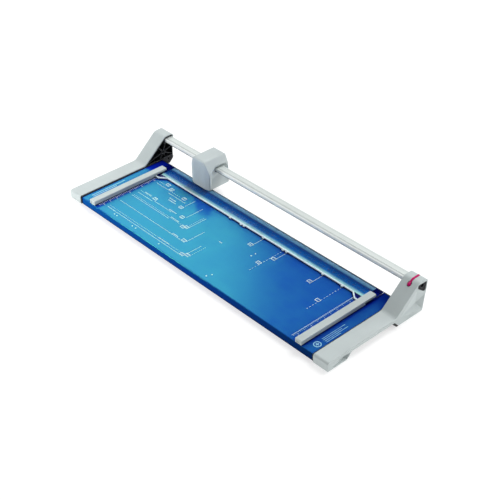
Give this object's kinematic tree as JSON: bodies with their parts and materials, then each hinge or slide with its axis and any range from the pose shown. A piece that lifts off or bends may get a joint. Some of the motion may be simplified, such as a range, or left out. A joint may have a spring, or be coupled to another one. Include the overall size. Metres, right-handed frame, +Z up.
{
  "type": "rotary paper trimmer",
  "caption": "Tabletop rotary paper trimmer with a sheet-metal table, end towers, a guide rail, a sliding head with a circular blade, and a transparent clamp strip.",
  "frame": {"origin": "on the ground, in the middle of the trimmer's outline", "axes": "+X along the cut, +Y across the table towards the rail, +Z up"},
  "size_m": [0.5872, 0.2016, 0.0682],
  "materials": {
    "lacquered_sheet": "glossy",
    "zinc_steel": "satin",
    "ground_steel": "ground",
    "black_steel": "blackened",
    "spring_steel": "satin",
    "black_plastic": "matte, fine grain",
    "grey_plastic": "satin, fine grain",
    "bar_plastic": "satin",
    "head_plastic": "satin, fine grain",
    "rubber": "matte",
    "anodised_rail": "anodised, satin",
    "clear_strip": "transparent, polished",
    "red_plastic": "semi-gloss",
    "white_print": "printed ink",
    "navy_print": "printed ink",
    "glide_plastic": "matte"
  },
  "bodies": {
    "base": {"table_plate": "lacquered_sheet", "table_stiffener": "zinc_steel", "table_studs": "zinc_steel", "table_nuts": "zinc_steel", "lower_blade": "ground_steel", "blade_screws": "black_steel", "blade_nuts": "zinc_steel", "left_bracket": "black_plastic", "right_bracket": "black_plastic", "left_cover": "grey_plastic", "right_cover": "grey_plastic", "cover_screws": "zinc_steel", "rubber_feet": "rubber", "guide_rail": "anodised_rail", "rail_screws": "black_steel", "left_bar": "bar_plastic", "right_bar": "bar_plastic", "bar_screws": "zinc_steel", "clamp_posts": "zinc_steel", "latch_pin": "zinc_steel"},
    "clamp": {"clamp_strip": "clear_strip", "clamp_spring_left": "spring_steel", "clamp_spring_right": "spring_steel"},
    "head": {"head_shell": "head_plastic", "head_carrier": "black_plastic", "glide_pads": "glide_plastic", "blade_cartridge": "black_plastic", "blade_spring": "spring_steel", "blade_axle": "zinc_steel", "roller_axles": "zinc_steel", "head_screws": "zinc_steel"},
    "blade": {"blade_disc": "ground_steel", "blade_hub": "glide_plastic"},
    "roller_left": {"roller_left": "black_plastic", "roller_left_tyre": "rubber"},
    "roller_right": {"roller_right": "black_plastic", "roller_right_tyre": "rubber"},
    "latch": {"release_latch": "red_plastic"}
  },
  "joints": [
    {"name": "head_slide", "type": "slide", "parent": "base", "child": "head", "axis": [1, 0, 0], "range_m": [-0.08944, 0.39419]},
    {"name": "blade_spin", "type": "hinge", "parent": "head", "child": "blade", "pos_m": [-0.15237, 0.06859, 0.02192], "axis": [0, 1, 0], "continuous": true},
    {"name": "roller_left_spin", "type": "hinge", "parent": "head", "child": "roller_left", "pos_m": [-0.16439, 0.06258, 0.02152], "axis": [0, 1, 0], "continuous": true},
    {"name": "roller_right_spin", "type": "hinge", "parent": "head", "child": "roller_right", "pos_m": [-0.14035, 0.06258, 0.02152], "axis": [0, 1, 0], "continuous": true},
    {"name": "clamp_press", "type": "slide", "parent": "base", "child": "clamp", "axis": [0, 0, 1], "range_m": [-0.0008485, 0], "stiffness_N_per_m": 1500, "springref_m": 0.00141, "deforming": ["clamp_spring_left", "clamp_spring_right"]},
    {"name": "latch_press", "type": "hinge", "parent": "base", "child": "latch", "pos_m": [0.28071, 0.08909, 0.05296], "axis": [1, 0, 0], "range_deg": [0, 5], "stiffness_Nm_per_rad": 0.05, "springref_deg": -5.73}
  ],
  "couplings": [
    {"joint": "blade_spin", "follows": "head_slide", "rad_per_m": 101.02},
    {"joint": "roller_left_spin", "follows": "head_slide", "rad_per_m": 202.04},
    {"joint": "roller_right_spin", "follows": "head_slide", "rad_per_m": 202.04}
  ]
}
